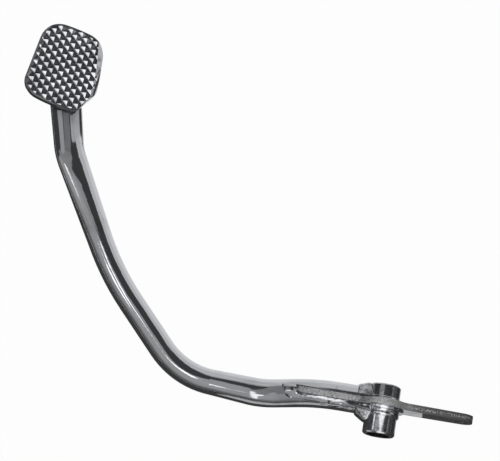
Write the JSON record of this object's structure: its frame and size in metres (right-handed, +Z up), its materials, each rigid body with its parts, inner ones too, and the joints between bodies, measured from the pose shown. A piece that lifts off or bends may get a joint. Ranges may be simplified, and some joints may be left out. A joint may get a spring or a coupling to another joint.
{
  "type": "rear brake pedal",
  "caption": "Foot-operated rear brake pedal: a treaded pad on a bent chromed tube, welded to a flat lever plate with a pivot boss and a rod hole.",
  "frame": {"origin": "Middle of the pivot bore, on its axis, halfway along the boss.", "axes": "+X points rearward along the lever plate toward the rod hole, +Y outboard along the pivot bore, +Z up; the pad lies forward, outboard and above."},
  "size_m": [0.3075, 0.214, 0.0849],
  "materials": {
    "pad_chrome": "chrome plate over a pressed pyramid tread",
    "tube_chrome": "bright chrome plate, slightly wavy",
    "plate_chrome": "chrome plate over a sheared edge, duller than the tube",
    "boss_chrome": "bright chrome plate over a turned sleeve",
    "weld_chrome": "chrome plate over rippled weld metal"
  },
  "bodies": {
    "root": {"foot_pad": "pad_chrome", "arm_tube": "tube_chrome", "lever_plate": "plate_chrome", "pivot_boss": "boss_chrome", "pad_weld_front": "weld_chrome", "pad_weld_rear": "weld_chrome", "slot_weld_top": "weld_chrome", "slot_weld_bottom": "weld_chrome", "boss_weld_inner": "weld_chrome", "boss_weld_outer": "weld_chrome", "cheek_weld_inner": "weld_chrome", "cheek_weld_outer": "weld_chrome"}
  },
  "joints": []
}
